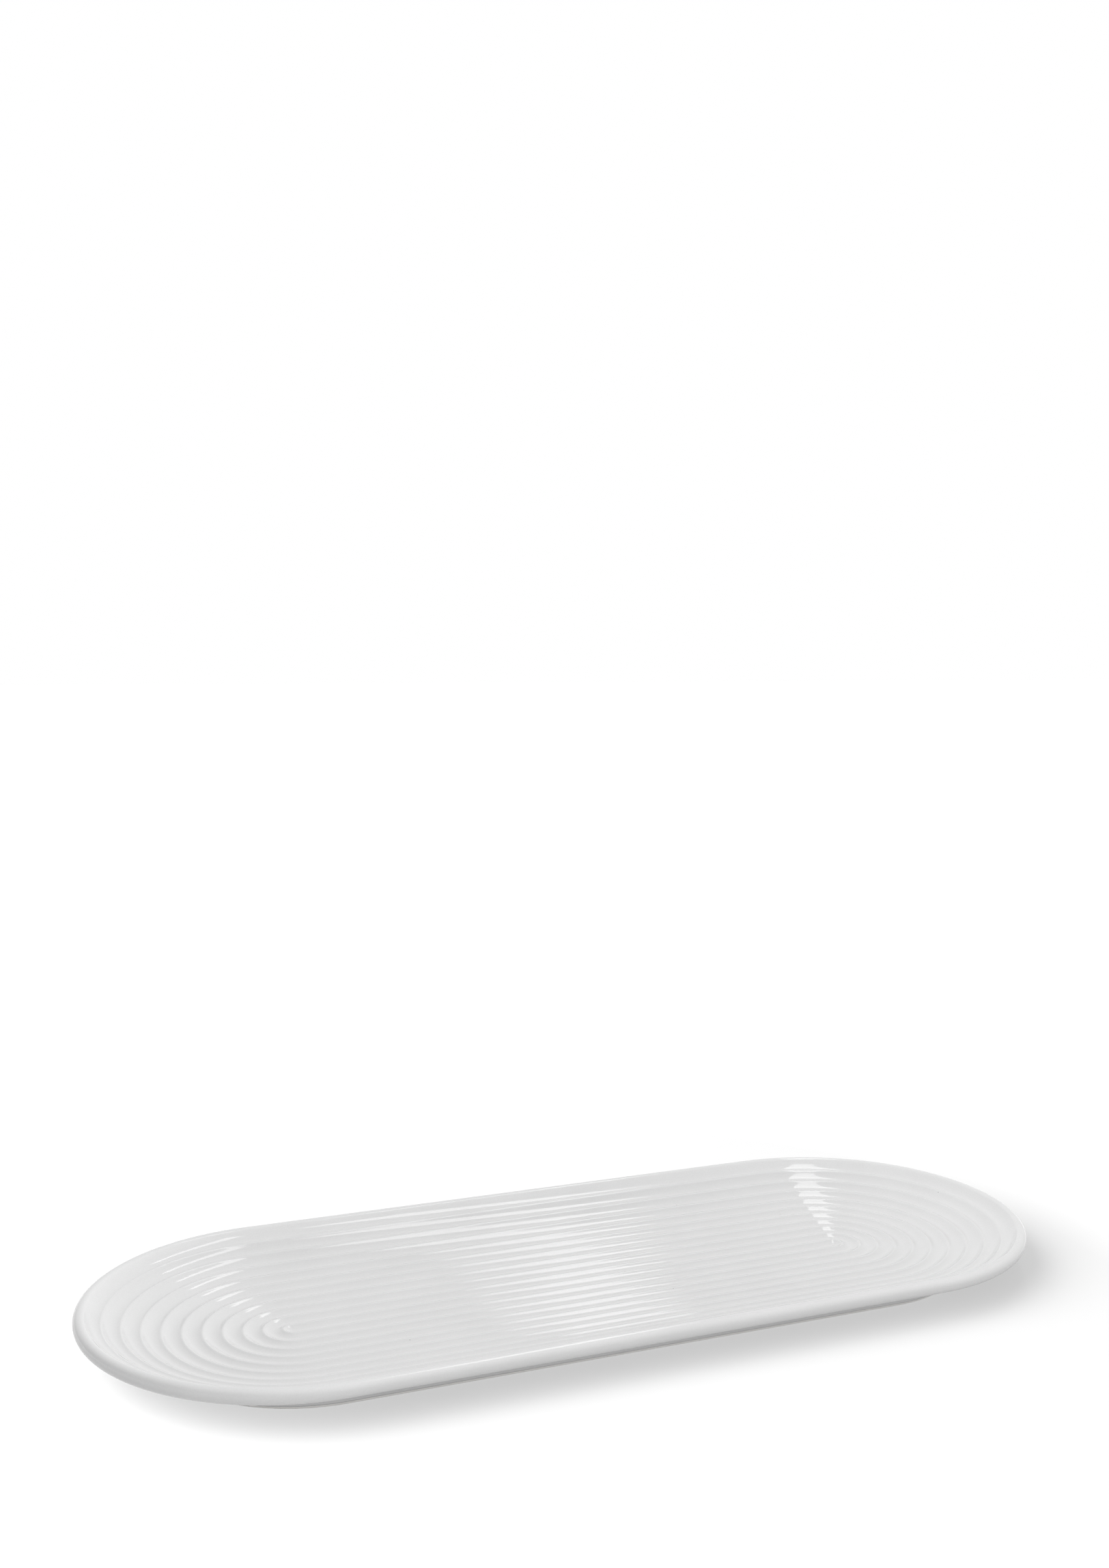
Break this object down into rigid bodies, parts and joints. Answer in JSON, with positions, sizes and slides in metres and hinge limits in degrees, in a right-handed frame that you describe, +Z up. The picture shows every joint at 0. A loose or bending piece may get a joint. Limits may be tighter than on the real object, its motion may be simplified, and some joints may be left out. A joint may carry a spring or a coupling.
{
  "type": "oval serving platter",
  "caption": "Long oval serving platter in white glazed porcelain, with concentric ribs over a shallow dished face, a rolled rim and a bare foot ring.",
  "frame": {"origin": "on the table under the middle of the platter, level with the bearing face of the foot ring", "axes": "+X along the platter's length, +Y across its width, +Z up out of the ribbed face"},
  "size_m": [0.348, 0.14, 0.0163],
  "materials": {
    "bisque": "fired and unglazed, fine matt",
    "glaze": "white glaze, glossy with a faint orange peel",
    "glaze_under": "white glaze, glossy with a faint orange peel"
  },
  "bodies": {
    "root": {"porcelain_body": "bisque", "glaze_coat": "glaze", "base_glaze": "glaze_under"}
  },
  "joints": []
}
